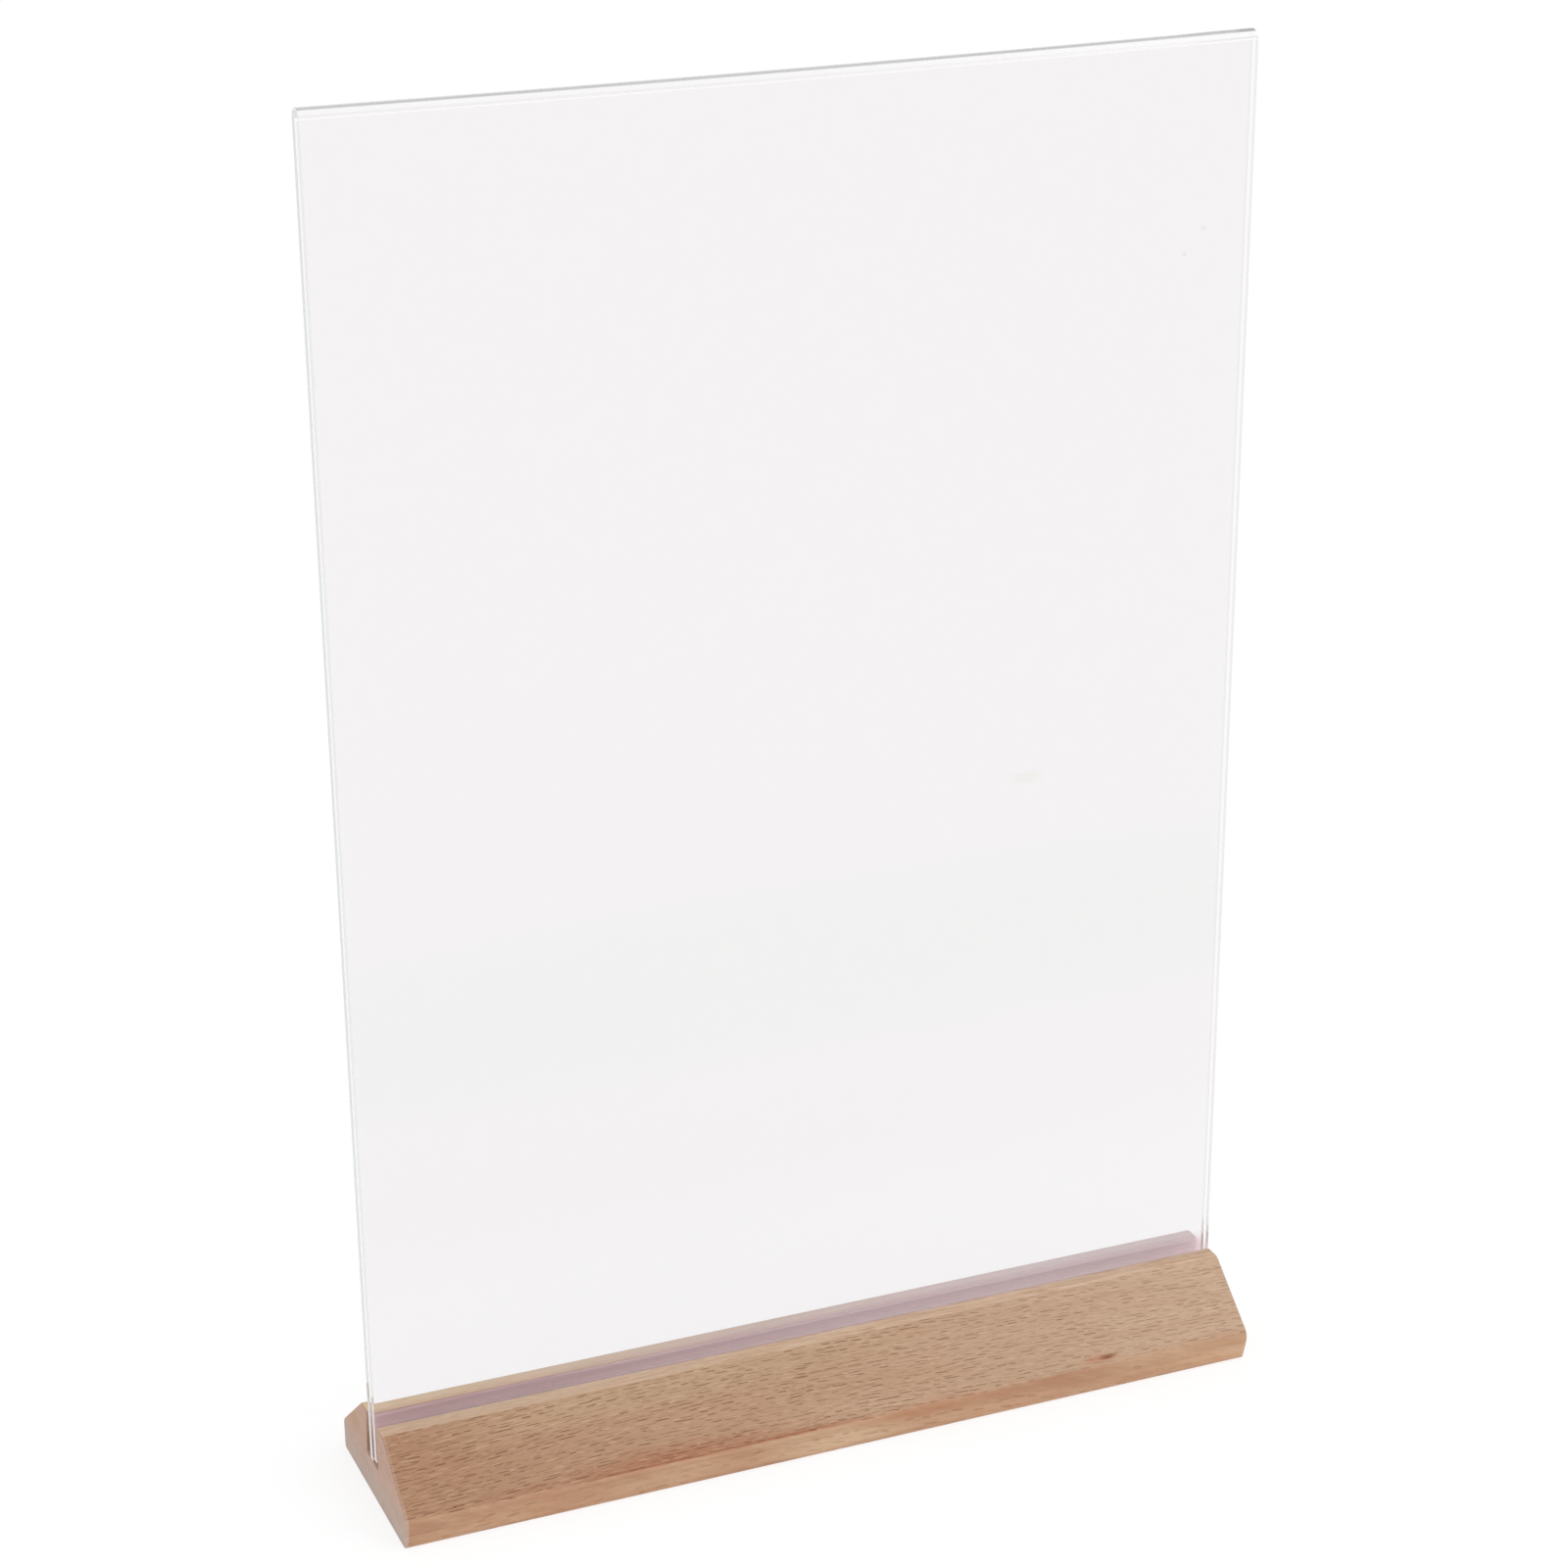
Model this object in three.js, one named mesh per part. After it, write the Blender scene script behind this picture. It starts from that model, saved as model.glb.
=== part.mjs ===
// Freestanding sign holder: a clear sleeve, one sheet folded over at the top, standing in a slotted wooden base.
// All sizes are in millimetres. +X runs along the base, -Y is the front, +Z is up, and the base rests on Z = 0.

import * as THREE from 'three';

// The insert that the sleeve is made for: one upright sheet of A4 paper
const insertWidth = 210;
const insertHeight = 297;

// The clear sleeve
const sheetThickness = 2;
const insertGap = 1.2;        // space between the front and the rear wall
const insertHeadroom = 4.7;   // height left over above a full insert that stands on the slot's floor
const frontWallCut = 1.3;     // the front wall ends this much higher than the rear one
const sheetEdgeRound = 0.3;   // along the two lower edges
const sheetEndEase = 0.2;     // polished edges of both open ends

// The wooden base, as seen from its end
const baseDepth = 48;
const baseHeight = 20.5;
const sideHeight = 7.5;       // low upright side below each slope
const topFlatDepth = 16;      // level strip along the top, before its edges are rounded
const toeHeight = 5.4;        // the front side leans in below this height
const toeSetback = 1.6;       // by this much at the foot
const topRound = 2.2;
const sideRound = 2;
const toeRound = 4;
const frontFootRound = 0.5;
const rearFootRound = 1;
const baseEndEase = 0.4;      // sanded edges of both ends

// The slot along the top of the base, which takes the foot of the sleeve
const slotDepth = 11.2;
const frontClearance = 0.3;   // the sleeve stands against the front wall of the slot
const rearPlay = 1.7;         // open space behind the sleeve at the mouth of the slot
const rearWallLean = 1.5;     // the rear wall of the slot leans back by this much at the floor
const floorClearance = 0.3;   // under the rear wall of the sleeve
const mouthRound = 0.6;
const floorRound = 0.6;

// How finely the rounds are divided
const woodArcSegments = 4;
const foldArcSegments = 12;
const woodEaseSegments = 3;
const sheetEaseSegments = 2;

// Sizes worked out from the ones above
const partLength = insertWidth;
const sleeveThickness = 2 * sheetThickness + insertGap;
const slotWidth = frontClearance + sleeveThickness + rearPlay;
const slotFloor = baseHeight - slotDepth;
const sleeveFoot = slotFloor + floorClearance;
const sleeveTop = slotFloor + insertHeight + insertHeadroom + sheetThickness;
const sleeveFront = -slotWidth / 2 + frontClearance;

// One corner of an outline seen from the end of the base: y is depth, z is height, round is its radius
function corner(y, z, round) {
  return { point: new THREE.Vector2(y, z), round };
}

// Adds the arc that rounds the corner between the corners before and after it
function addRoundedCorner(shape, before, here, after) {
  const towardBefore = before.point.clone().sub(here.point).normalize();
  const towardAfter = after.point.clone().sub(here.point).normalize();
  const halfAngle = Math.acos(towardBefore.dot(towardAfter)) / 2;
  const toTangent = here.round / Math.tan(halfAngle);
  const toCentre = here.round / Math.sin(halfAngle);
  const start = here.point.clone().addScaledVector(towardBefore, toTangent);
  const end = here.point.clone().addScaledVector(towardAfter, toTangent);
  const middle = towardBefore.clone().add(towardAfter).normalize();
  const centre = here.point.clone().addScaledVector(middle, toCentre);
  const startAngle = start.sub(centre).angle();
  const endAngle = end.sub(centre).angle();
  const turnsClockwise = towardBefore.cross(towardAfter) > 0;
  shape.absarc(centre.x, centre.y, here.round, startAngle, endAngle, turnsClockwise);
}

// A closed outline whose corners are all rounded
function roundedOutline(corners) {
  const shape = new THREE.Shape();
  corners.forEach((here, index) => {
    const before = corners.at(index - 1);
    const after = corners[(index + 1) % corners.length];
    addRoundedCorner(shape, before, here, after);
  });
  return shape;
}

// Runs an outline along the whole length of the base, with eased edges at both ends
function extrudeAlongBase(shape, ease, easeSegments, arcSegments) {
  const geometry = new THREE.ExtrudeGeometry(shape, {
    depth: partLength - 2 * ease,
    curveSegments: arcSegments,
    bevelEnabled: true,
    bevelThickness: ease,
    bevelSize: ease,
    bevelOffset: -ease,
    bevelSegments: easeSegments,
  });
  geometry.translate(0, 0, ease - partLength / 2);
  return geometry;
}

// Turns a mesh so that its outline's two axes become depth and height, and its run becomes length
function standOnEnd(mesh) {
  const depth = new THREE.Vector3(0, 1, 0);
  const height = new THREE.Vector3(0, 0, 1);
  const length = new THREE.Vector3(1, 0, 0);
  mesh.quaternion.setFromRotationMatrix(new THREE.Matrix4().makeBasis(depth, height, length));
  return mesh;
}

// The section of the base: flat foot, low sides, two slopes, and a level top with the slot open in it
function baseOutline() {
  const back = baseDepth / 2;
  const front = -back;
  const topEdge = topFlatDepth / 2;
  const mouth = slotWidth / 2;
  return roundedOutline([
    corner(front + toeSetback, 0, frontFootRound),
    corner(back, 0, rearFootRound),
    corner(back, sideHeight, sideRound),
    corner(topEdge, baseHeight, topRound),
    corner(mouth, baseHeight, mouthRound),
    corner(mouth + rearWallLean, slotFloor, floorRound),
    corner(-mouth, slotFloor, floorRound),
    corner(-mouth, baseHeight, mouthRound),
    corner(-topEdge, baseHeight, topRound),
    corner(front, sideHeight, sideRound),
    corner(front, toeHeight, toeRound),
  ]);
}

// The section of the sleeve: front wall, half-round fold at the top, rear wall, and the open insert space
function sleeveOutline() {
  const sleeveRear = sleeveFront + sleeveThickness;
  const foldDepth = (sleeveFront + sleeveRear) / 2;
  const outerRadius = sleeveThickness / 2;
  const innerRadius = insertGap / 2;
  const foldHeight = sleeveTop - outerRadius;
  const frontFoot = sleeveFoot + frontWallCut;
  const shape = new THREE.Shape();
  addWallFoot(shape, sleeveFront, frontFoot);
  shape.absarc(foldDepth, foldHeight, innerRadius, Math.PI, 0, true);
  addWallFoot(shape, sleeveRear - sheetThickness, sleeveFoot);
  shape.absarc(foldDepth, foldHeight, outerRadius, 0, Math.PI, false);
  return shape;
}

// The lower edge of one wall of the sleeve, rounded at its front and at its back
function addWallFoot(shape, wallFront, wallFoot) {
  const wallBack = wallFront + sheetThickness;
  const height = wallFoot + sheetEdgeRound;
  shape.absarc(wallFront + sheetEdgeRound, height, sheetEdgeRound, Math.PI, 1.5 * Math.PI, false);
  shape.absarc(wallBack - sheetEdgeRound, height, sheetEdgeRound, 1.5 * Math.PI, 2 * Math.PI, false);
}

function makeBase() {
  const geometry = extrudeAlongBase(baseOutline(), baseEndEase, woodEaseSegments, woodArcSegments);
  const material = new THREE.MeshStandardMaterial({ color: '#c39d7b', roughness: 0.62, metalness: 0 });
  const mesh = standOnEnd(new THREE.Mesh(geometry, material));
  mesh.name = 'wood_base';
  return mesh;
}

function makeSleeve() {
  const geometry = extrudeAlongBase(sleeveOutline(), sheetEndEase, sheetEaseSegments, foldArcSegments);
  const material = new THREE.MeshStandardMaterial({
    color: '#f4f4f3',
    roughness: 0.06,
    metalness: 0,
    transparent: true,
    opacity: 0.25,
  });
  const mesh = standOnEnd(new THREE.Mesh(geometry, material));
  mesh.name = 'acrylic_sleeve';
  return mesh;
}

const signHolder = new THREE.Group();
signHolder.add(makeBase());
signHolder.add(makeSleeve());

export default signHolder;
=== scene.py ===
"""Looks of an upright sign holder: a clear folded sleeve standing in a slotted beech base.

Metres, +X along the base, -Y toward the front, +Z up.
The two visual pieces are finer versions of the two CAD solids.
"""

import math

import bpy
from mathutils import Matrix, Vector, noise


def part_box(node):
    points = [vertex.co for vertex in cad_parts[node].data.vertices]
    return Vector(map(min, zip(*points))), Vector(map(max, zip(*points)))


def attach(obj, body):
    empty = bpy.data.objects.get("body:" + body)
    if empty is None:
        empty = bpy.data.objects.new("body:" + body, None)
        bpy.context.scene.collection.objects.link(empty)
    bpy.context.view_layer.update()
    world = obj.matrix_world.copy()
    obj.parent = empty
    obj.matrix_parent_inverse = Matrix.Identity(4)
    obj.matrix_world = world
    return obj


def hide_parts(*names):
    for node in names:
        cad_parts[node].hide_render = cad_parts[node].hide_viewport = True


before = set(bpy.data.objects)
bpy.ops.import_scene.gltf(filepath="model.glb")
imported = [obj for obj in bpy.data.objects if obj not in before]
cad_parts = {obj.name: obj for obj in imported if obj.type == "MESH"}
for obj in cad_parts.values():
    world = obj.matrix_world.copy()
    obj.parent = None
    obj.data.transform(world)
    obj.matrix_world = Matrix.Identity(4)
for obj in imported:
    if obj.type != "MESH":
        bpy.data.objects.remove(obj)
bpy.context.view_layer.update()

MM = 0.001

# Sizes, in millimetres, as in the CAD source
LENGTH = 210.0
BASE_DEPTH, BASE_HEIGHT = 48.0, 20.5
SIDE_HEIGHT, TOP_FLAT = 7.5, 16.0
TOE_HEIGHT, TOE_SETBACK = 5.4, 1.6
TOP_ROUND, SIDE_ROUND, TOE_ROUND, REAR_FOOT_ROUND = 2.2, 2.0, 4.0, 1.0
BASE_END_EASE = 0.4
SLOT_DEPTH, WALL_LEAN, SLOT_ROUND = 11.2, 1.5, 0.6
FRONT_CLEARANCE, REAR_PLAY, FLOOR_CLEARANCE = 0.3, 1.7, 0.3
SHEET, INSERT_GAP = 2.0, 1.2
FRONT_WALL_CUT, SHEET_EDGE_ROUND = 1.3, 0.3

# Sizes worked out from these
HALF = LENGTH / 2
SLOT_WIDTH = FRONT_CLEARANCE + 2 * SHEET + INSERT_GAP + REAR_PLAY
SLOT_FLOOR = BASE_HEIGHT - SLOT_DEPTH
SLEEVE_FRONT = -SLOT_WIDTH / 2 + FRONT_CLEARANCE
SLEEVE_REAR = SLEEVE_FRONT + 2 * SHEET + INSERT_GAP
SLEEVE_MIDDLE = (SLEEVE_FRONT + SLEEVE_REAR) / 2
SLEEVE_FOOT = SLOT_FLOOR + FLOOR_CLEARANCE
FRONT_WALL_FOOT = SLEEVE_FOOT + FRONT_WALL_CUT
SLEEVE_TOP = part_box("acrylic_sleeve")[1].z / MM

# Where the visual pieces differ a little from the solids: a softer front foot, and crisper ends of the sheet
FRONT_FOOT_ROUND = 0.55
SHEET_END_EASE = 0.1

# The bent sheet's fold sags by FOLD_SAG at SAG_MIDDLE, and by nothing SAG_REACH to either side of it
FOLD_SAG, SAG_MIDDLE, SAG_REACH = 0.5, 5.0, 110.0

# Sanding by hand: the rounds of the base change slowly along it, and those of the front slope grow toward +X
WORN_WAVES = 0.03
SOFTER_FROM, SOFTER_OVER, SOFTER_SHARE = 50.0, 45.0, 0.5
LARGEST_SIDE_ROUND = 3.05

# How finely the pieces are divided. The first and last stations lie END_MARGIN in from the ends.
BASE_STATIONS, SHEET_STATIONS, END_MARGIN = 69, 33, 2.0
BASE_EASE_STEPS, SHEET_EASE_STEPS = 6, 4
BASE_ARC_STEPS, EDGE_STEPS, INNER_FOLD_STEPS, OUTER_FOLD_STEPS = 8, 6, 32, 48


# Geometry
def rounded_profile(corners, segments):
    """Points (y, z) and outward normals of an outline whose corners (y, z, radius) run anticlockwise."""
    points, normals = [], []
    count = len(corners)
    for i in range(count):
        here = Vector(corners[i][:2])
        radius = corners[i][2]
        back = (Vector(corners[i - 1][:2]) - here).normalized()
        ahead = (Vector(corners[(i + 1) % count][:2]) - here).normalized()
        half_angle = math.acos(max(-1.0, min(1.0, back.dot(ahead)))) / 2
        centre = here + (back + ahead).normalized() * (radius / math.sin(half_angle))
        convex = back.x * ahead.y - back.y * ahead.x < 0
        start = here + back * (radius / math.tan(half_angle)) - centre
        end = here + ahead * (radius / math.tan(half_angle)) - centre
        first_angle = math.atan2(start.y, start.x)
        sweep = math.atan2(start.x * end.y - start.y * end.x, start.dot(end))
        for k in range(segments + 1):
            angle = first_angle + sweep * k / segments
            out = Vector((math.cos(angle), math.sin(angle)))
            points.append(centre + out * radius)
            normals.append(out if convex else -out)
    return points, normals


def loft(name, profile_at, ease, ease_steps, station_count, body, node):
    """A closed body along X. profile_at(x) gives the outline; both ends have eased edges and flat caps."""
    quarter = [math.pi / 2 * k / ease_steps for k in range(ease_steps + 1)]
    span = LENGTH - 2 * END_MARGIN
    rings = [(-1, angle) for angle in reversed(quarter)]
    rings += [(0, -HALF + END_MARGIN + span * i / (station_count - 1)) for i in range(station_count)]
    rings += [(1, angle) for angle in quarter]
    verts, normals = [], []
    for side, value in rings:
        if side:
            x = side * (HALF - ease * (1 - math.sin(value)))
            inset, lean = ease * (1 - math.cos(value)), side * math.sin(value)
            keep = math.cos(value)
        else:
            x, inset, lean, keep = value, 0.0, 0.0, 1.0
        points, outs = profile_at(x)
        for point, out in zip(points, outs):
            moved = point - out * inset
            verts.append((x * MM, moved.x * MM, moved.y * MM))
            normals.append(Vector((lean, out.x * keep, out.y * keep)).normalized())
    per = len(verts) // len(rings)
    faces = []
    for r in range(len(rings) - 1):
        for k in range(per):
            a, b = r * per + k, r * per + (k + 1) % per
            faces.append((a, b, b + per, a + per))
    faces.append(tuple(reversed(range(per))))
    faces.append(tuple(range(len(verts) - per, len(verts))))
    mesh = bpy.data.meshes.new(name)
    mesh.from_pydata(verts, [], faces)
    mesh.validate()
    mesh.polygons.foreach_set("use_smooth", [True] * len(mesh.polygons))
    mesh.normals_split_custom_set_from_vertices(normals)
    mesh.update()
    piece = bpy.data.objects.new(name, mesh)
    bpy.context.scene.collection.objects.link(piece)
    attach(piece, body)
    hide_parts(node)
    return piece


def base_profile(x):
    """The base's section at x. The sanded rounds differ a little from place to place."""
    def worn(radius, seed, amount):
        return radius * (1 + amount * noise.noise(Vector((x * WORN_WAVES, seed, 0.0))))

    back, edge, mouth = BASE_DEPTH / 2, TOP_FLAT / 2, SLOT_WIDTH / 2
    softer = 1 + SOFTER_SHARE * min(max((x - SOFTER_FROM) / SOFTER_OVER, 0.0), 1.0)
    corners = [
        (-back + TOE_SETBACK, 0, FRONT_FOOT_ROUND),
        (back, 0, worn(REAR_FOOT_ROUND, 1.0, 0.2)),
        (back, SIDE_HEIGHT, worn(SIDE_ROUND, 2.0, 0.3)),
        (edge, BASE_HEIGHT, worn(TOP_ROUND, 3.0, 0.35)),
        (mouth, BASE_HEIGHT, SLOT_ROUND),
        (mouth + WALL_LEAN, SLOT_FLOOR, SLOT_ROUND),
        (-mouth, SLOT_FLOOR, SLOT_ROUND),
        (-mouth, BASE_HEIGHT, SLOT_ROUND),
        (-edge, BASE_HEIGHT, worn(TOP_ROUND, 4.0, 0.35) * softer),
        (-back, SIDE_HEIGHT, min(worn(SIDE_ROUND, 5.0, 0.3) * softer, LARGEST_SIDE_ROUND)),
        (-back, TOE_HEIGHT, TOE_ROUND),
    ]
    return rounded_profile(corners, BASE_ARC_STEPS)


def sleeve_profile(x):
    """The sleeve's section at x: two walls, the fold at the top, and the open space for the insert."""
    points, normals = [], []

    def arc(y, z, radius, start, end, steps, sign):
        for k in range(steps + 1):
            angle = start + (end - start) * k / steps
            out = Vector((math.cos(angle), math.sin(angle)))
            points.append(Vector((y, z)) + out * radius)
            normals.append(out * sign)

    def wall_foot(front, foot):
        r = SHEET_EDGE_ROUND
        arc(front + r, foot + r, r, math.pi, 1.5 * math.pi, EDGE_STEPS, 1)
        arc(front + SHEET - r, foot + r, r, 1.5 * math.pi, 2 * math.pi, EDGE_STEPS, 1)

    outer, inner = (SLEEVE_REAR - SLEEVE_FRONT) / 2, INSERT_GAP / 2
    fold = SLEEVE_TOP - outer - FOLD_SAG * (1 - ((x - SAG_MIDDLE) / SAG_REACH) ** 2)
    wall_foot(SLEEVE_FRONT, FRONT_WALL_FOOT)
    arc(SLEEVE_MIDDLE, fold, inner, math.pi, 0, INNER_FOLD_STEPS, -1)
    wall_foot(SLEEVE_REAR - SHEET, SLEEVE_FOOT)
    arc(SLEEVE_MIDDLE, fold, outer, 0, math.pi, OUTER_FOLD_STEPS, 1)
    return points, normals


# Building node trees
class Nodes:
    """Short names for building the node tree of a material or a world, its owner."""

    def __init__(self, owner, output_kind):
        self.owner = owner
        owner.use_nodes = True
        self.tree = owner.node_tree
        self.tree.nodes.clear()
        self.out = self.add(output_kind)

    def add(self, kind, **settings):
        node = self.tree.nodes.new(kind)
        for key, value in settings.items():
            setattr(node, key, value)
        return node

    def put(self, value, socket):
        """Links an output, or sets a plain value."""
        if isinstance(value, bpy.types.NodeSocket):
            self.tree.links.new(value, socket)
        elif value is not None:
            socket.default_value = value

    def math(self, operation, a, b=None):
        node = self.add("ShaderNodeMath", operation=operation)
        self.put(a, node.inputs[0])
        self.put(b, node.inputs[1])
        return node.outputs[0]

    def chain(self, operation, values):
        """All the values joined by one operation, from the first to the last."""
        total = values[0]
        for value in values[1:]:
            total = self.math(operation, total, value)
        return total

    def times(self, *values):
        return self.chain("MULTIPLY", values)

    def plus(self, *values):
        return self.chain("ADD", values)

    def most(self, *values):
        return self.chain("MAXIMUM", values)

    def minus(self, a, b):
        return self.math("SUBTRACT", a, b)

    def over(self, a, b):
        return self.math("DIVIDE", a, b)

    def size(self, value):
        return self.math("ABSOLUTE", value)

    def hypotenuse(self, a, b):
        return self.math("SQRT", self.plus(self.times(a, a), self.times(b, b)))

    def vector(self, operation, a, b=None):
        node = self.add("ShaderNodeVectorMath", operation=operation)
        self.put(a, node.inputs[0])
        self.put(b, node.inputs[1])
        return node.outputs["Value" if operation == "LENGTH" else "Vector"]

    def split(self, vector):
        node = self.add("ShaderNodeSeparateXYZ")
        self.put(vector, node.inputs[0])
        return node.outputs[0], node.outputs[1], node.outputs[2]

    def join(self, x, y, z):
        node = self.add("ShaderNodeCombineXYZ")
        for value, socket in zip((x, y, z), node.inputs):
            self.put(value, socket)
        return node.outputs[0]

    def stretched(self, axes, scales):
        """A place for a texture: each axis times its own scale."""
        return self.join(*[self.times(axis, scale) for axis, scale in zip(axes, scales)])

    def noise(self, vector, detail=2.0, rough=0.5, colour=False):
        node = self.add("ShaderNodeTexNoise", noise_dimensions="3D", normalize=True)
        self.put(vector, node.inputs["Vector"])
        node.inputs["Scale"].default_value = 1.0
        node.inputs["Detail"].default_value = detail
        node.inputs["Roughness"].default_value = rough
        node.inputs["Distortion"].default_value = 0.0
        return node.outputs["Color" if colour else "Fac"]

    def cells(self, vector, randomness):
        """The middle of the nearest cell in the plane, and that cell's own random colour."""
        node = self.add("ShaderNodeTexVoronoi", voronoi_dimensions="2D", feature="F1")
        self.put(vector, node.inputs["Vector"])
        node.inputs["Scale"].default_value = 1.0
        node.inputs["Randomness"].default_value = randomness
        return node.outputs["Position"], node.outputs["Color"]

    def ramp(self, value, low, high, start=0.0, end=1.0, kind="SMOOTHSTEP"):
        """value from low..high to start..end, clamped."""
        node = self.add("ShaderNodeMapRange", interpolation_type=kind, clamp=True)
        for v, socket in zip((value, low, high, start, end), node.inputs):
            self.put(v, socket)
        return node.outputs[0]

    def line(self, value, low, high, start=0.0, end=1.0):
        """The same with an even slope."""
        return self.ramp(value, low, high, start, end, "LINEAR")

    def band(self, value, start, full, fading, end):
        """1 where value lies from full to fading, down to nought at start and at end."""
        return self.times(self.ramp(value, start, full), self.ramp(value, end, fading))

    def mix(self, factor, a, b, blend="MIX"):
        node = self.add("ShaderNodeMix", data_type="RGBA", blend_type=blend, clamp_factor=True)
        self.put(factor, node.inputs["Factor"])
        self.put(a, node.inputs[6])
        self.put(b, node.inputs[7])
        return node.outputs[2]

    def tint(self, colour, amount, tone):
        """The colour multiplied by a tone, by this amount."""
        return self.mix(amount, colour, self.mix(1.0, colour, tone, "MULTIPLY"))

    def shader(self, kind, values):
        """A shader node's output, with values or links on the inputs that are named."""
        node = self.add(kind)
        for name, value in values.items():
            self.put(value, node.inputs[name])
        return node.outputs[0]

    def mix_shaders(self, factor, first, second):
        node = self.add("ShaderNodeMixShader")
        for value, socket in zip((factor, first, second), node.inputs):
            self.put(value, socket)
        return node.outputs[0]

    def sees_background(self):
        """1 for a ray that shows the background itself: from the camera, off a gloss, or through glass."""
        path = self.add("ShaderNodeLightPath").outputs
        return self.most(path["Is Camera Ray"], path["Is Glossy Ray"], path["Is Transmission Ray"])


class Solid(Nodes):
    """Nodes of a material that follows the place in millimetres and the way that the surface faces."""

    def __init__(self, name):
        super().__init__(bpy.data.materials.new(name), "ShaderNodeOutputMaterial")
        source = self.add("ShaderNodeTexCoord").outputs
        self.place = self.vector("MULTIPLY", source["Object"], (1 / MM, 1 / MM, 1 / MM))
        self.x, self.y, self.z = self.split(self.place)
        self.n_x, self.n_y, self.n_z = self.split(source["Normal"])


def srgb(r, g, b):
    """Linear RGBA of a colour written as 0-255."""
    def one(v):
        v /= 255
        return v / 12.92 if v <= 0.04045 else ((v + 0.055) / 1.055) ** 2.4
    return (one(r), one(g), one(b), 1.0)


# The log: away from its heart is square to the front slope, whose unit normal is (-LOG_Y, LOG_Z)
LOG_Y, LOG_Z = 0.6306, 0.7761
RINGS_PER_MM, RING_CURVE = 0.42, 0.006

# How the grain strays, in millimetres: slow waves, an even run-out, and a bend near BOW_MIDDLE
WAVE_T, WAVE_R = 2.4, 1.6
RUN_OUT, BOW, BOW_MIDDLE, BOW_EASE = 0.012, 0.054, -30.0, 30.0

# Ray dashes: length and width of a cell, shift along x, shortest and longest half length, and half thickness
COARSE_DASHES = (4.3, 0.90, 0.0, 0.9, 2.1, 0.118)
FINE_DASHES = (2.9, 0.8, 1.7, 0.6, 1.3, 0.09)
PALE_DASHES = (4.9, 1.1, 2.3, 0.8, 1.9, 0.12)

# Strength of the fine dashes, and how far all of them stray from an even grid
FINE_STRENGTH, STRAY = 0.6, 0.72

# Each row of ray cells starts this much further along, so that the dashes form no columns
ROW_STEP = 0.47

# Height of the fibres and depth of the dashes in the relief, its strength, and its scale in millimetres
FIBRE_HEIGHT, DASH_DEPTH, RELIEF_STRENGTH, RELIEF_SCALE = 0.35, 0.8, 0.35, 0.06

# Length of the front slope over its height, less one
SLOPE_STRETCH = 0.586

# Tones of the faces. The left and right tones of the slope and the top paint light that is brighter toward
# +X.
SLOPE_LEFT, SLOPE_RIGHT, SLOPE_HIGH = srgb(175, 135, 105), srgb(199, 170, 144), srgb(191, 161, 131)
SIDE_DARK, SIDE_LIGHT = srgb(201, 156, 126), srgb(215, 175, 143)
TOP_LEFT, TOP_RIGHT, TOP_BEHIND = srgb(210, 182, 156), srgb(225, 197, 172), srgb(228, 199, 158)
TOP_LIP, TOP_FLECK = srgb(212, 184, 172), srgb(232, 208, 186)
END_HIGH, END_LOW_FLOOR_LIT, END_REAR = srgb(220, 183, 165), srgb(218, 198, 187), srgb(216, 174, 142)
# The rim tone here is a painted highlight on the end arrises
PALE_MOTTLE, PALE_DASH, RIM_HIGHLIGHT = srgb(222, 192, 160), srgb(222, 192, 163), srgb(216, 198, 190)
# A tone that paints light on the slot's front lip, against the shade of the narrow gap by the sleeve
LIP_LIGHT = (0.92, 0.76, 0.68, 1)

# Tones that darken what they lie on by multiplying it
UNDER_ARRIS, ARRIS_LINE = (0.86, 0.84, 0.82, 1), (0.74, 0.60, 0.52, 1)
DARK_FLECK, SEAM, BROWN_STRIP = (0.82, 0.77, 0.72, 1), (0.84, 0.76, 0.68, 1), (0.89, 0.865, 0.85, 1)
RED, TAN, DARK_MOTTLE = (0.86, 0.64, 0.54, 1), (0.96, 0.84, 0.74, 1), (0.90, 0.80, 0.74, 1)
STREAK, LATE_WOOD, FIBRE = (0.84, 0.76, 0.69, 1), (0.80, 0.70, 0.62, 1), (0.80, 0.75, 0.70, 1)
DASH = (0.40, 0.28, 0.18, 1)

# Painted light on the wood as the foot of the sleeve shows it: a lilac veil on the top, and the slot from
# left to right with its veins, lit nearly white against its shade
LILAC_LIGHT_TOP, SLOT_LIGHT_VEIN = (0.70, 0.575, 0.595, 1), (0.66, 0.46, 0.52, 1)
SLOT_LIGHT_LEFT, SLOT_LIGHT_RIGHT = (1.0, 0.80, 0.79, 1), (0.96, 0.82, 0.85, 1)

# Patches on the front: middle along x, reach along x, middle up the front, reach up the front, and tilt
PALE_SIDE_PATCHES = (
    ((-2.0, 22.0, -4.4, 5.8), 0.72, srgb(234, 204, 171)),
    ((104.0, 30.0, -4.0, 6.0), 0.9, srgb(224, 184, 150)),
    ((-42.0, 28.0, -5.0, 6.5), 0.6, srgb(222, 186, 152)),
)
RED_ON_SLOPE = (
    ((-40.0, 42.0, 1.4, 3.6, -0.008), 1.0),
    ((-14.0, 36.0, 0.5, 1.5, -0.012), 1.0),
    ((-78.0, 24.0, 1.2, 2.0), 0.4),
)
RED_ON_SIDE = (
    ((22.0, 24.0, -1.0, 3.0, -0.01), 0.6),
    ((-74.0, 26.0, -2.5, 4.5), 0.3),
)
TANNED = (
    ((62.0, 36.0, -3.0, 4.5), 1.0),
    ((-94.0, 16.0, 10.5, 6.0), 0.8),
)

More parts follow.
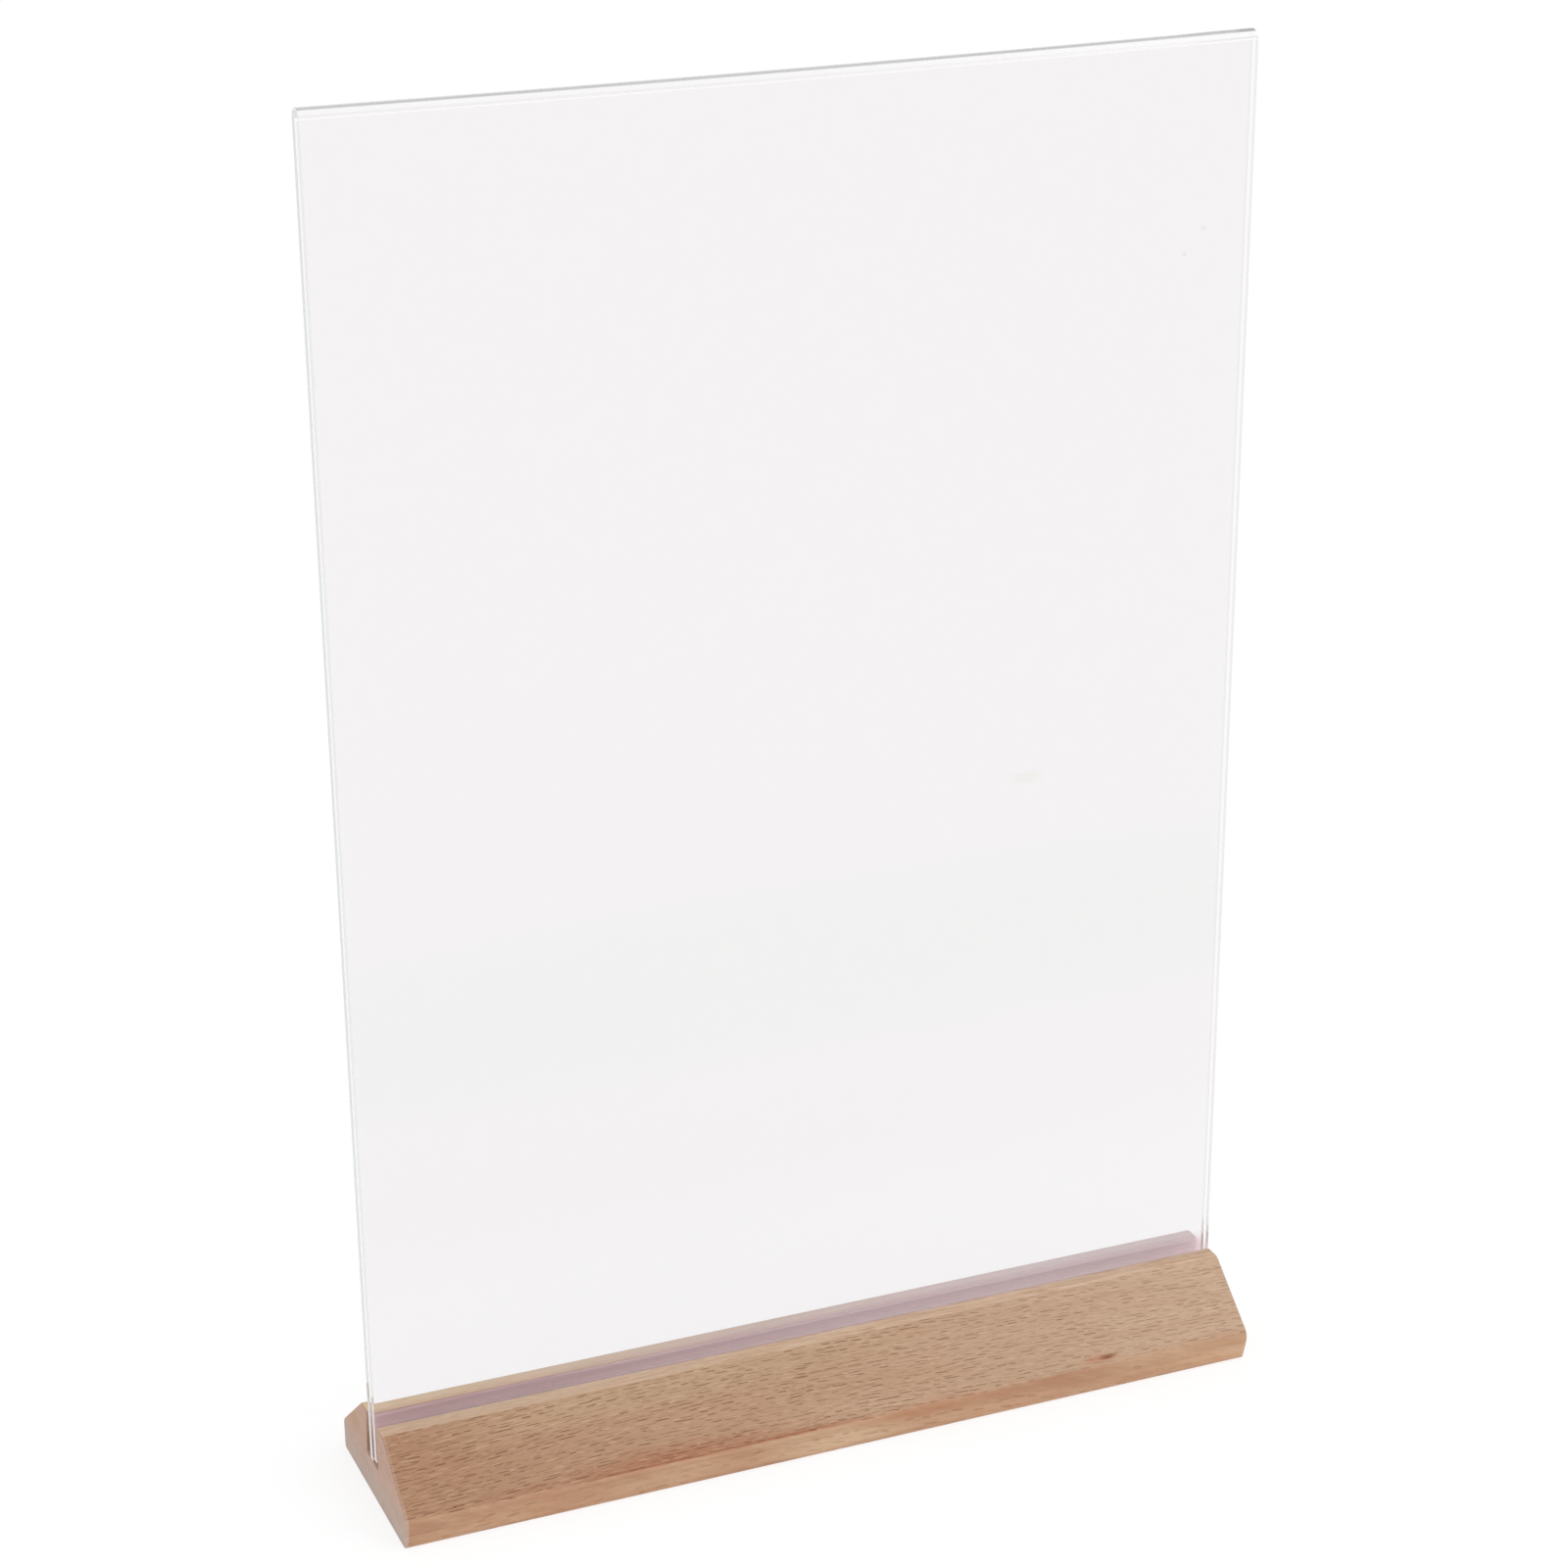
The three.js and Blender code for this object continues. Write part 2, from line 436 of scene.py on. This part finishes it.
# Small marks on the front, each with its raggedness, strength and tone: three dark pin marks on the side, and
# low on the slope one brown mark with a redder rim
PIN_TONE = (0.55, 0.42, 0.34, 1)
MARKS = (
    ((-21.0, 1.6, -2.2, 0.5), 0.2, 0.5, PIN_TONE),
    ((-7.0, 1.2, -2.6, 0.5), 0.2, 0.45, PIN_TONE),
    ((3.0, 1.3, -2.4, 0.5), 0.2, 0.4, PIN_TONE),
    ((66.0, 6.2, 1.9, 1.5), 0.3, 0.8, (0.92, 0.66, 0.56, 1)),
    ((68.2, 3.0, 1.9, 0.75), 0.25, 0.95, (0.50, 0.30, 0.24, 1)),
)


class Wood(Solid):
    """Nodes of the base's beech, with the patterns and places that its colours follow."""

    def __init__(self, name):
        super().__init__(name)
        self.bend_grain()

        # Growth rings
        across = self.times(self.t, self.t, RING_CURVE)
        ring = self.math("FRACT", self.times(self.plus(self.r, across), RINGS_PER_MM))
        self.late = self.band(ring, 0.55, 0.93, 0.95, 1.0)

        # Fibres, long streaks and broad mottling
        self.fibre = self.grain(0.07, 3.0, 0.6)
        self.streak = self.grain(0.014, 0.6, 0.55)
        self.cloud = self.noise(self.stretched((self.x, self.y, self.z), (0.03, 0.12, 0.12)))

        # End grain, and how squarely the surface faces along r or t
        facing_t, facing_r = self.log_axes(self.n_y, self.n_z)
        self.end = self.ramp(self.size(self.n_x), 0.5, 0.9)
        square = self.ramp(self.size(facing_r), 0.84, 0.97, 0.05, 1.0)
        flake = self.ramp(self.size(facing_t), 0.72, 0.85, 0.0, 0.42)
        flake = self.times(flake, self.ramp(self.cloud, 0.35, 0.6, 0.4, 1.0))

        # Dark and pale ray dashes
        dark = self.most(self.dashes(*COARSE_DASHES), self.times(self.dashes(*FINE_DASHES), FINE_STRENGTH))
        self.dash = self.times(dark, self.most(square, flake, self.times(self.end, 0.12)))
        self.pale = self.times(self.dashes(*PALE_DASHES), square)

        # Distance up the front from its lower arris: below nought on the side, above it on the slope
        self.front = self.ramp(self.y, -7.0, -9.0)
        rise = self.minus(self.z, SIDE_HEIGHT)
        on_slope = self.math("GREATER_THAN", rise, 0.0)
        self.up = self.times(rise, self.plus(self.times(on_slope, SLOPE_STRETCH), 1.0))

    def log_axes(self, y, z):
        """A place or direction in the log's own axes: t along the growth rings, r away from the heart."""
        t = self.plus(self.times(y, LOG_Z), self.times(z, LOG_Y))
        r = self.minus(self.times(z, LOG_Z), self.times(y, LOG_Y))
        return t, r

    def bend_grain(self):
        """Sets t and r, with slow waves that bend every pattern, and a run-out with one wide bend."""
        t, r = self.log_axes(self.y, self.z)
        wave = self.noise(self.stretched((self.x, t, r), (0.022, 0.09, 0.09)), colour=True)
        wave_t, wave_r, _ = self.split(wave)
        t = self.plus(t, self.times(self.minus(wave_t, 0.5), WAVE_T))
        self.r = self.plus(r, self.times(self.minus(wave_r, 0.5), WAVE_R))
        bow = self.hypotenuse(self.minus(self.x, BOW_MIDDLE), BOW_EASE)
        run_out = self.plus(self.times(self.x, RUN_OUT), self.times(bow, BOW))
        self.t = self.plus(t, run_out)

    def grain(self, along, across, rough):
        """Noise drawn out along the fibres, with so many waves in a millimetre along and across them."""
        place = self.stretched((self.x, self.t, self.r), (along, across, across))
        return self.noise(place, detail=3.0, rough=rough)

    def dashes(self, cell_x, cell_t, shift, shortest, longest, thickness):
        """Rays: plates that run out from the heart, seen as short dashes where the surface faces along r."""
        row = self.over(self.t, cell_t)
        along = self.plus(self.over(self.plus(self.x, shift), cell_x), self.times(row, ROW_STEP))
        place = self.join(along, row, 0.0)
        middle, tone = self.cells(place, STRAY)
        off_x, off_t, _ = self.split(self.vector("SUBTRACT", place, middle))
        off_x = self.minus(off_x, self.times(off_t, ROW_STEP))
        pick, shade, size = self.split(tone)
        half_length = self.line(size, 0.0, 1.0, shortest, longest)
        u = self.over(self.times(off_x, cell_x), half_length)
        v = self.over(self.times(off_t, cell_t), thickness)
        far = self.hypotenuse(self.times(u, u), v)
        body = self.times(self.ramp(far, 1.2, 0.6), self.ramp(pick, 0.08, 0.28))
        return self.times(body, self.line(shade, 0.0, 1.0, 0.28, 1.0))

    def patch(self, x_mid, x_reach, up_mid, up_reach, tilt=0.0, ragged=0.5):
        """A soft lens on the front, longer than high, with an edge that runs out along the fibres."""
        beside = self.minus(self.x, x_mid)
        above = self.minus(self.up, self.plus(self.times(beside, tilt), up_mid))
        away = self.hypotenuse(self.over(beside, x_reach), self.over(above, up_reach))
        away = self.plus(away, self.times(self.minus(self.streak, 0.5), ragged * 2))
        return self.times(self.ramp(away, 1.1, 0.1), self.front)

    def patches(self, table):
        """The strongest of several patches, each with its own strength."""
        return self.most(*[self.times(self.patch(*place), strength) for place, strength in table])


def slope_and_side(n):
    """The colours of the slopes and the low sides. Only the front has the patches."""
    # Painted light: the slope grows lighter toward +X
    slope = n.mix(n.line(n.x, -HALF, HALF), SLOPE_LEFT, SLOPE_RIGHT)
    high = n.times(n.ramp(n.up, 11.5, 17.0), n.band(n.x, -100.0, -60.0, -25.0, 40.0))
    slope = n.mix(n.times(high, 0.8), slope, SLOPE_HIGH)
    side = n.mix(n.ramp(n.cloud, 0.3, 0.7), SIDE_DARK, SIDE_LIGHT)
    for place, strength, tone in PALE_SIDE_PATCHES:
        side = n.mix(n.times(n.patch(*place), strength), side, tone)
    side = n.tint(side, n.ramp(n.z, 3.0, 7.0), UNDER_ARRIS)
    all_slope = n.ramp(n.x, 60.0, 98.0, 8.0, 9.4)
    all_side = n.ramp(n.x, 60.0, 98.0, 7.2, 6.2)
    return n.mix(n.ramp(n.z, all_slope, all_side), slope, side)


def level_top(n):
    """The level top: flecks and thin brown lines, paler behind the slot and pinker at its front lip."""
    # Painted light: the top grows lighter toward +X
    top = n.mix(n.line(n.x, -HALF, 60.0), TOP_LEFT, TOP_RIGHT)
    behind = n.times(n.ramp(n.y, 0.0, 1.0), n.ramp(n.x, 10.0, -70.0))
    top = n.mix(behind, top, TOP_BEHIND)
    lip = n.times(n.band(n.y, -5.2, -4.0, -1.0, 0.0), n.ramp(n.x, -80.0, 60.0, 0.4, 1.0))
    top = n.mix(lip, top, TOP_LIP)
    fleck = n.grain(0.34, 2.2, 0.7)
    top = n.tint(top, n.ramp(fleck, 0.58, 0.36, 0.0, 0.55), DARK_FLECK)
    top = n.mix(n.ramp(fleck, 0.58, 0.74, 0.0, 0.45), top, TOP_FLECK)
    seam = n.times(n.ramp(n.grain(0.07, 1.3, 0.6), 0.46, 0.62), n.ramp(n.x, -70.0, 10.0, 0.4, 1.0))
    top = n.tint(top, seam, SEAM)
    brown = n.times(n.band(n.y, -7.2, -6.4, -5.0, -4.4), n.ramp(n.x, 35.0, 85.0))
    return n.tint(top, brown, BROWN_STRIP)


def cut_faces(n):
    """The plain colour of each face of the block."""
    on_top = n.times(n.ramp(n.n_z, 0.91, 0.985), n.ramp(n.z, 18.0, 19.5))
    colour = n.mix(on_top, slope_and_side(n), level_top(n))
    # Painted light: the end face is greyer and lighter toward the bottom, for the floor's light reflected on
    # it
    end_tone = n.mix(n.ramp(n.z, 13.0, 1.0), END_HIGH, END_LOW_FLOOR_LIT)
    rear_top = n.times(n.ramp(n.y, 6.0, 18.0), n.ramp(n.z, 8.0, 14.0))
    end_tone = n.mix(rear_top, end_tone, END_REAR)
    return n.mix(n.end, colour, end_tone)


def red_streak(n, colour):
    """The reddish streak: low on the front slope, over the arris near the middle, and on along the side."""
    on_slope = n.times(n.patches(RED_ON_SLOPE), n.ramp(n.up, -0.5, 0.2))
    colour = n.tint(colour, n.most(on_slope, n.patches(RED_ON_SIDE)), RED)
    return n.tint(colour, n.times(n.patches(TANNED), 0.2), TAN)


def upright_mottle(n, colour):
    """Slanting mottle on the upright sides, and a dark line just above the front arris."""
    place = n.join(n.plus(n.times(n.x, 0.16), n.times(n.z, 0.42)),
                   n.minus(n.times(n.x, 0.07), n.times(n.z, 0.03)),
                   n.times(n.y, 0.1))
    slant = n.noise(place, detail=3.0, rough=0.6)
    upright = n.ramp(n.size(n.n_z), 0.6, 0.3)
    colour = n.tint(colour, n.times(upright, n.ramp(slant, 0.45, 0.7, 0.0, 0.4)), DARK_MOTTLE)
    colour = n.mix(n.times(upright, n.ramp(slant, 0.5, 0.3, 0.0, 0.25)), colour, PALE_MOTTLE)
    near_arris = n.ramp(n.size(n.minus(n.up, 0.35)), 0.45, 0.05)
    dark_line = n.times(near_arris, n.band(n.x, -74.0, -52.0, -12.0, 4.0), n.front, 0.6)
    return n.tint(colour, dark_line, ARRIS_LINE)


def grain_tones(n, colour):
    """Streaks, late wood, fibres and ray dashes."""
    colour = n.tint(colour, n.line(n.streak, 0.35, 0.7, 0.0, 0.42), STREAK)
    colour = n.tint(colour, n.times(n.late, n.ramp(n.end, 0.0, 1.0, 0.16, 0.30)), LATE_WOOD)
    colour = n.tint(colour, n.line(n.fibre, 0.3, 0.75, 0.0, 0.42), FIBRE)
    colour = n.tint(colour, n.times(n.dash, n.ramp(n.x, -20.0, 90.0, 1.0, 0.80)), DASH)
    return n.mix(n.times(n.pale, 0.38), colour, PALE_DASH)


def painted_edge_light(n, colour):
    """Painted light on the slot's front lip where it rounds over, against the shade of the gap by the sleeve,
    and a painted highlight on the arrises at both ends, strongest low down toward -X.
    """
    lip = n.times(n.band(n.z, 19.7, 20.0, 20.4, 20.48), n.band(n.y, -4.4, -4.1, -1.0, 0.0))
    colour = n.mix(n.times(lip, 0.8), colour, LIP_LIGHT)
    rim = n.times(n.ramp(n.size(n.x), 103.9, 104.5), n.ramp(n.size(n.n_x), 0.97, 0.75))
    rim = n.times(rim, n.ramp(n.x, 0.0, 90.0, 1.0, 0.2), n.ramp(n.z, 12.0, 2.0, 0.15, 0.55))
    return n.mix(rim, colour, RIM_HIGHLIGHT)


def painted_light_through_sleeve(n, colour):
    """Painted light on the top and the slot as the sleeve's foot shows them: a lilac veil, stronger toward
    +X, and a near-white slot that stands for light led down the sheet into the slot's shade.
    """
    depth = n.size(n.y)
    through = n.add("ShaderNodeLightPath").outputs["Is Transmission Ray"]
    through = n.times(through, n.ramp(n.z, 15.5, 17.5), n.ramp(depth, 9.4, 8.4))
    in_slot = n.times(n.ramp(n.z, 20.45, 20.1), n.ramp(depth, 7.0, 6.0))
    amount = n.most(n.line(n.x, -85.0, 60.0, 0.0, 0.85),
                    n.times(in_slot, n.line(n.x, -100.0, 20.0, 0.88, 1.0)))
    lit = n.mix(n.line(n.x, -90.0, 70.0), SLOT_LIGHT_LEFT, SLOT_LIGHT_RIGHT)
    vein = n.noise(n.stretched((n.x, n.y, n.z), (0.022, 0.5, 1.7)), rough=0.6)
    vein = n.times(n.ramp(vein, 0.40, 0.60), n.ramp(n.x, 10.0, -70.0, 0.1, 1.0))
    lit = n.mix(vein, lit, SLOT_LIGHT_VEIN)
    cast = n.mix(in_slot, LILAC_LIGHT_TOP, lit)
    return n.mix(n.times(through, amount), colour, cast)


def beech():
    """The base's wood, one solid material through the whole block."""
    n = Wood("beech")
    colour = cut_faces(n)
    colour = red_streak(n, colour)
    colour = upright_mottle(n, colour)
    colour = grain_tones(n, colour)
    for place, ragged, strength, tone in MARKS:
        colour = n.tint(colour, n.times(n.patch(*place, ragged=ragged), strength), tone)
    colour = painted_edge_light(n, colour)
    colour = painted_light_through_sleeve(n, colour)

    relief = n.add("ShaderNodeBump")
    relief.inputs["Strength"].default_value = RELIEF_STRENGTH
    relief.inputs["Distance"].default_value = RELIEF_SCALE * MM
    height = n.minus(n.times(n.fibre, FIBRE_HEIGHT), n.times(n.dash, DASH_DEPTH))
    n.put(height, relief.inputs["Height"])
    surface = n.shader("ShaderNodeBsdfPrincipled", {
        "Base Color": colour,
        "Roughness": n.line(n.fibre, 0.2, 0.8, 0.52, 0.68),
        "Specular IOR Level": 0.35,
        "Normal": relief.outputs[0],
    })
    n.put(surface, n.out.inputs["Surface"])
    return n.owner


# The smear on the sleeve: its middle, and one over its reach along each axis. The specks: their middles.
SMEAR_MIDDLE, SMEAR_SCALE = (54.0, -3.3, 150.6), (0.16, 0.2, 0.42)
SPECKS = ((93.3, -3.3, 271.5), (88.7, -3.3, 266.3))

# Beyond this distance from the middle of the sleeve's thickness lie its two outer faces
OUTER_FACE = 2.3

# Tones of the sheet: plain, in its grey band (a painted reflection), low down, and at the fold and its dark
# crest from left to right (painted shade)
CLEAR, REFLECTED_GREY_BAND, CLEAR_LOW = (0.951, 0.941, 0.944, 1), (0.938, 0.937, 0.935, 1), (0.960, 0.951, 0.954, 1)
SHADED_BEND_LEFT, SHADED_BEND_RIGHT = (0.84, 0.825, 0.83, 1), (0.90, 0.89, 0.89, 1)
SHADED_CREST_LEFT, SHADED_CREST_RIGHT = (0.33, 0.33, 0.335, 1), (0.17, 0.17, 0.175, 1)

# Tones of its foot from left to right, a painted reflection of the wood; of its marks; of its end faces,
# darkened as painted shade; and of ends that are rubbed and scuffed, partly wear and partly painted light
FOOT_REFLECTION_LEFT, FOOT_REFLECTION_RIGHT = (0.95, 0.865, 0.885, 1), (0.965, 0.905, 0.93, 1)
BLUSH_REFLECTION_LEFT, BLUSH_REFLECTION_RIGHT = (0.925, 0.785, 0.815, 1), (0.95, 0.84, 0.88, 1)
SMEAR, SPECK = (0.90, 0.89, 0.84, 1), (0.72, 0.71, 0.70, 1)
SHADED_END_FACE_LEFT, SHADED_END_FACE_RIGHT = (0.70, 0.705, 0.71, 1), (0.78, 0.785, 0.79, 1)
RUBBED_AND_LIT, SCUFFED_AND_LIT = (0.97, 0.945, 0.94, 1), (0.97, 0.84, 0.79, 1)

# Refractive index, tone and density of the absorption, and turns in the sheet after which a ray is led on
REFRACTION, ABSORBED, DENSITY, LED_TURNS = 1.49, (0.80, 0.72, 0.82, 1), 1.5, 3.5

# Tones of a ray that passes straight through, and of one that is led on
STRAIGHT, LED = (0.97, 0.97, 0.97, 1), (0.925, 0.93, 0.935, 1)


def sheet_tones(n):
    """The nearly colourless sheet, with a soft grey band across it that is a painted reflection, and slightly
    clearer below that.
    """
    drift = n.noise(n.vector("MULTIPLY", n.place, (0.006, 0.006, 0.012)), detail=1.0)
    height = n.plus(n.z, n.times(n.minus(drift, 0.5), 16.0))
    grey = n.band(height, 88.0, 108.0, 118.0, 138.0)
    colour = n.mix(grey, CLEAR, REFLECTED_GREY_BAND)
    return n.mix(n.ramp(n.z, 72.0, 44.0), colour, CLEAR_LOW)


def below_fold(n):
    """Distance below the sagging top of the fold."""
    beside = n.over(n.minus(n.x, SAG_MIDDLE), SAG_REACH)
    sag = n.times(n.minus(1.0, n.times(beside, beside)), FOLD_SAG)
    return n.minus(SLEEVE_TOP, n.plus(n.z, sag))


def fold_tones(n, colour, below):
    """Painted shade where the fold bends the light: a grey tint over its solid top, and a dark line along its
    front shoulder.
    """
    bend = n.mix(n.ramp(n.x, -20.0, HALF), SHADED_BEND_LEFT, SHADED_BEND_RIGHT)
    colour = n.mix(n.ramp(below, 1.9, 1.5), colour, bend)
    crest = n.mix(n.ramp(n.x, 99.0, 102.0), SHADED_CREST_LEFT, SHADED_CREST_RIGHT)
    shoulder = n.minus(n.y, n.ramp(n.x, 84.0, 96.0, 0.0, 0.65))
    along = n.times(n.ramp(n.y, -2.25, -1.9), n.ramp(shoulder, -1.1, -1.4))
    return n.mix(n.times(along, n.ramp(below, 0.85, 0.75)), colour, crest)


def foot_reflection_tones(n, colour, shown):
    """A painted reflection of the wood: a lilac cast where the sheet stands in it, stronger near the slot and
    toward -X.
    """
    cast = n.mix(n.ramp(n.x, -HALF, 40.0), FOOT_REFLECTION_LEFT, FOOT_REFLECTION_RIGHT)
    colour = n.mix(n.times(n.ramp(n.z, 24.2, 21.5), shown), colour, cast)
    blush = n.mix(n.ramp(n.x, -HALF, 60.0), BLUSH_REFLECTION_LEFT, BLUSH_REFLECTION_RIGHT)
    return n.mix(n.times(n.ramp(n.z, 22.6, 20.9), shown), colour, blush)


def use_marks(n, colour):
    """A faint smear and two specks."""
    smear = n.vector("MULTIPLY", n.vector("SUBTRACT", n.place, SMEAR_MIDDLE), SMEAR_SCALE)
    smear = n.vector("LENGTH", smear)
    colour = n.mix(n.ramp(smear, 1.0, 0.2, 0.0, 0.5), colour, SMEAR)
    for middle in SPECKS:
        away = n.vector("LENGTH", n.vector("SUBTRACT", n.place, middle))
        colour = n.mix(n.ramp(away, 0.75, 0.35, 0.0, 0.4), colour, SPECK)
    return colour


def painted_foot_light(n, shown):
    """Painted light on the foot's outer faces: a whitish veil for the wood's light in the sheet, stronger
    toward +X, and more on the front one in the slot.
    """
    outer = n.math("GREATER_THAN", n.size(n.minus(n.y, SLEEVE_MIDDLE)), OUTER_FACE)
    foot_light = n.plus(n.times(n.ramp(n.z, 24.2, 23.2), 0.014), n.line(n.z, 23.6, 20.8, 0.0, 0.38))
    foot_light = n.times(foot_light, outer, n.line(n.x, -HALF, 60.0, 0.7, 1.15), shown)
    front_face = n.math("LESS_THAN", n.y, SLEEVE_FRONT + 0.2)
    edge = n.times(n.ramp(n.z, 20.85, 20.3), front_face, shown, n.ramp(n.x, -HALF, 0.0, 0.10, 0.18))
    return n.plus(foot_light, edge)


def acrylic():
    """The sleeve's clear sheet."""
    n = Solid("clear_acrylic")
    below = below_fold(n)
    colour = fold_tones(n, sheet_tones(n), below)

    # The foot's painted reflection and painted light fade toward the walls' lower edges
    shown = n.line(n.z, 9.5, 18.5, 0.3, 1.0)
    colour = foot_reflection_tones(n, colour, shown)
    colour = use_marks(n, colour)

    # The end faces are darker, painted shade. Where they slide in the slot they are whitened, and at -X just
    # above it too: partly wear, partly painted light.
    scuffed_and_lit = n.times(n.ramp(n.size(n.n_x), 0.6, 0.9), n.ramp(n.z, 21.5, 19.5))
    rubbed_and_lit = n.times(n.ramp(n.n_x, -0.6, -0.9), n.ramp(n.z, 28.5, 24.5))
    colour = n.mix(n.ramp(n.n_x, -0.6, -0.95), colour, SHADED_END_FACE_LEFT)
    colour = n.mix(n.ramp(n.n_x, 0.6, 0.95), colour, SHADED_END_FACE_RIGHT)
    colour = n.mix(rubbed_and_lit, colour, RUBBED_AND_LIT)
    colour = n.mix(scuffed_and_lit, colour, SCUFFED_AND_LIT)
    solid = n.most(painted_foot_light(n, shown), n.times(rubbed_and_lit, 0.72), n.times(scuffed_and_lit, 0.85))
    glass = n.shader("ShaderNodeBsdfPrincipled", {
        "Base Color": colour,
        "Roughness": 0.0,
        "IOR": REFRACTION,
        "Transmission Weight": n.minus(1.0, solid),
    })

    # Lamps and soft light pass straight through, so that no caustics are needed. So does light that has been
    # led along inside the sheet for a few turns.
    path = n.add("ShaderNodeLightPath").outputs
    led = n.math("GREATER_THAN", path["Ray Depth"], LED_TURNS)
    led = n.times(led, n.minus(1.0, path["Is Diffuse Ray"]))
    dimmed = n.times(led, n.ramp(below, 2.7, 3.2, 0.1, 1.0))
    clear = n.shader("ShaderNodeBsdfTransparent", {
        "Color": n.mix(dimmed, STRAIGHT, LED),
    })
    passes = n.most(path["Is Shadow Ray"], path["Is Diffuse Ray"], led)
    n.put(n.mix_shaders(passes, glass, clear), n.out.inputs["Surface"])

    absorption = n.shader("ShaderNodeVolumeAbsorption", {"Color": ABSORBED, "Density": DENSITY})
    n.put(absorption, n.out.inputs["Volume"])
    return n.owner


# The floor's tone where it lights the object, and its tone and glow for rays that show the background
FLOOR_TONE, FLOOR_SEEN, FLOOR_GLOW = (0.80, 0.80, 0.80, 1), (0.24, 0.24, 0.24, 1), 0.78

# Strength of the light from all sides, and of the background
WHITE, STUDIO_LIGHT, BACKGROUND = (1, 1, 1, 1), 0.62, 1.0


def pale_floor():
    """A pale matt floor that the camera sees as white, with the object's shadow on it."""
    n = Nodes(bpy.data.materials.new("pale_floor"), "ShaderNodeOutputMaterial")
    matt = n.shader("ShaderNodeBsdfDiffuse", {"Color": FLOOR_TONE})
    both = n.add("ShaderNodeAddShader")
    n.put(n.shader("ShaderNodeBsdfDiffuse", {"Color": FLOOR_SEEN}), both.inputs[0])
    n.put(n.shader("ShaderNodeEmission", {"Color": WHITE, "Strength": FLOOR_GLOW}), both.inputs[1])
    n.put(n.mix_shaders(n.sees_background(), matt, both.outputs[0]), n.out.inputs["Surface"])
    return n.owner


def studio():
    """Even soft light from all sides, behind which the background is white."""
    n = Nodes(bpy.data.worlds.new("studio"), "ShaderNodeOutputWorld")
    ambient = n.shader("ShaderNodeBackground", {"Color": WHITE, "Strength": STUDIO_LIGHT})
    white = n.shader("ShaderNodeBackground", {"Color": WHITE, "Strength": BACKGROUND})
    n.put(n.mix_shaders(n.sees_background(), ambient, white), n.out.inputs["Surface"])
    return n.owner


# Pieces
block = loft("beech_base", base_profile, BASE_END_EASE, BASE_EASE_STEPS, BASE_STATIONS,
             "base", "wood_base")
block.data.materials.append(beech())
sleeve = loft("clear_sleeve", sleeve_profile, SHEET_END_EASE, SHEET_EASE_STEPS, SHEET_STATIONS,
              "sleeve", "acrylic_sleeve")
sleeve.data.materials.append(acrylic())

# Floor and light
FLOOR_REACH = 20.0
SUN_STRENGTH, SUN_WIDTH = 1.35, math.radians(80)
SUN_HEADING = Vector((-0.30, 0.70, -1.0))

floor_mesh = bpy.data.meshes.new("floor")
floor_corners = [(FLOOR_REACH * x, FLOOR_REACH * y, 0) for x, y in ((-1, -1), (1, -1), (1, 1), (-1, 1))]
floor_mesh.from_pydata(floor_corners, [], [(0, 1, 2, 3)])
floor = bpy.data.objects.new("floor", floor_mesh)
bpy.context.scene.collection.objects.link(floor)
floor.data.materials.append(pale_floor())

bpy.context.scene.world = studio()
lamp = bpy.data.lights.new("softbox", "SUN")
lamp.energy = SUN_STRENGTH
lamp.angle = SUN_WIDTH
lamp_object = bpy.data.objects.new("softbox", lamp)
bpy.context.scene.collection.objects.link(lamp_object)
lamp_object.rotation_euler = SUN_HEADING.to_track_quat("-Z", "Y").to_euler()

# Camera, as fitted to the photograph: pixels of its square frame, radians, and the eye's place in millimetres
FRAME, FOCAL = 1600.0, 3750.466
CENTRE_X, CENTRE_Y = 814.93, 886.684
YAW, PITCH, ROLL = 0.39456784, 0.39706913, -0.00629396
EYE = Vector((-288.818, -692.053, 450.753))
SENSOR = 36.0

camera_data = bpy.data.cameras.new("camera")
camera = bpy.data.objects.new("camera", camera_data)
bpy.context.scene.collection.objects.link(camera)
camera_data.sensor_width = SENSOR
camera_data.lens = FOCAL / FRAME * SENSOR
camera_data.shift_x = (FRAME / 2 - CENTRE_X) / FRAME
camera_data.shift_y = (CENTRE_Y - FRAME / 2) / FRAME
camera_data.clip_start, camera_data.clip_end = 0.01, 100.0
forward = Vector((math.sin(YAW) * math.cos(PITCH), math.cos(YAW) * math.cos(PITCH), -math.sin(PITCH)))
right = Vector((math.cos(YAW), -math.sin(YAW), 0.0))
up = right.cross(forward)
right_rolled = right * math.cos(ROLL) + up * math.sin(ROLL)
up_rolled = up * math.cos(ROLL) - right * math.sin(ROLL)
turn = Matrix((right_rolled, up_rolled, -forward)).transposed().to_4x4()
camera.matrix_world = Matrix.Translation(EYE * MM) @ turn
bpy.context.scene.camera = camera
bpy.context.scene.view_settings.view_transform = "Standard"
